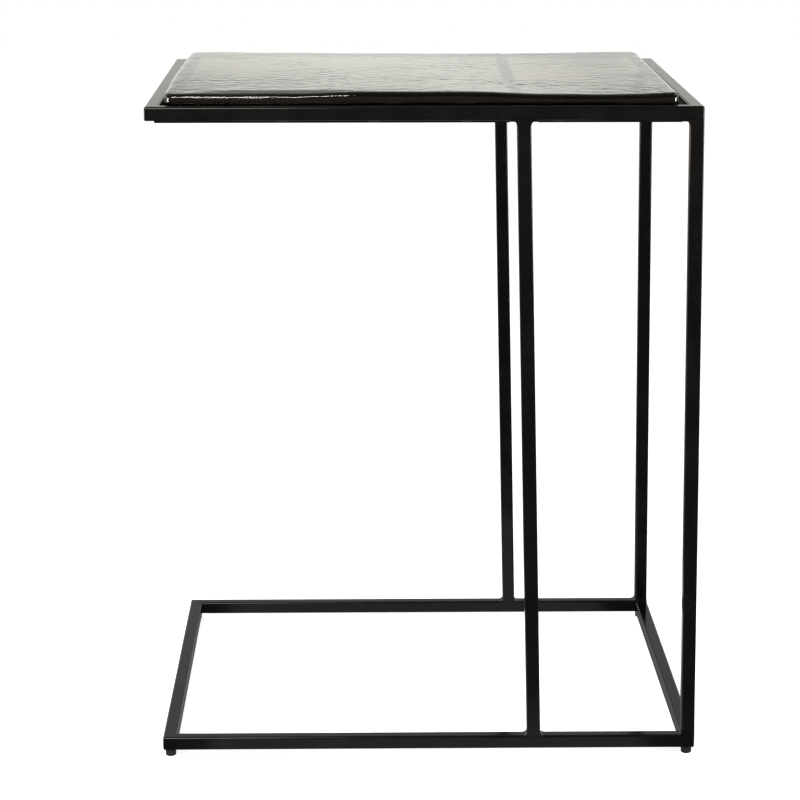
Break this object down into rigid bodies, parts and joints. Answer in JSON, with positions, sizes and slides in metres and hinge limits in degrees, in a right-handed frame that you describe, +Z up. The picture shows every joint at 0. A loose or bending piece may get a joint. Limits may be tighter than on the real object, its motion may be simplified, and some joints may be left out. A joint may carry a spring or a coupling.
{
  "type": "c-shaped side table",
  "caption": "C-shaped side table: welded black square-tube frame, open on one side to slide under a sofa, with a loose thick smoked cast-glass top and small screw-in feet.",
  "frame": {"origin": "on the floor, under the middle of the table's overall length and depth", "axes": "+X from the open mouth of the C to the end with the posts, +Y from front to back, +Z up"},
  "size_m": [0.475, 0.41, 0.5856],
  "materials": {
    "frame_black": "satin black powder coat",
    "smoked_glass": "glossy cast glass, dark smoke, softly rippled",
    "foot_black": "moulded black plastic",
    "zinc_stud": "zinc plated",
    "bare_steel": "turned steel",
    "clear_bumper": "clear soft polyurethane"
  },
  "bodies": {
    "frame": {"base_back_rail": "frame_black", "base_front_rail": "frame_black", "base_left_rail": "frame_black", "base_right_rail": "frame_black", "end_back_post": "frame_black", "end_front_post": "frame_black", "glass_ledge_back": "frame_black", "glass_ledge_front": "frame_black", "glass_ledge_left": "frame_black", "glass_ledge_right": "frame_black", "glass_pads": "clear_bumper", "glide_bushes": "bare_steel", "ledge_stitch_welds": "frame_black", "mid_back_post": "frame_black", "mid_front_post": "frame_black", "post_base_welds": "frame_black", "post_top_welds": "frame_black", "top_back_rail": "frame_black", "top_front_rail": "frame_black", "top_left_rail": "frame_black", "top_right_rail": "frame_black"},
    "glass": {"glass_top": "smoked_glass"},
    "foot_front_left": {"glide_front_left": "foot_black", "glide_stud_front_left": "zinc_stud"},
    "foot_front_right": {"glide_front_right": "foot_black", "glide_stud_front_right": "zinc_stud"},
    "foot_back_left": {"glide_back_left": "foot_black", "glide_stud_back_left": "zinc_stud"},
    "foot_back_right": {"glide_back_right": "foot_black", "glide_stud_back_right": "zinc_stud"}
  },
  "joints": [
    {"name": "glass_lift", "type": "slide", "parent": "frame", "child": "glass", "axis": [0, 0, 1], "range_m": [0, 0.05]},
    {"name": "foot_front_left_screw", "type": "slide", "parent": "frame", "child": "foot_front_left", "axis": [0, 0, -1], "range_m": [0, 0.005]},
    {"name": "foot_front_right_screw", "type": "slide", "parent": "frame", "child": "foot_front_right", "axis": [0, 0, -1], "range_m": [0, 0.005]},
    {"name": "foot_back_left_screw", "type": "slide", "parent": "frame", "child": "foot_back_left", "axis": [0, 0, -1], "range_m": [0, 0.005]},
    {"name": "foot_back_right_screw", "type": "slide", "parent": "frame", "child": "foot_back_right", "axis": [0, 0, -1], "range_m": [0, 0.005]}
  ]
}
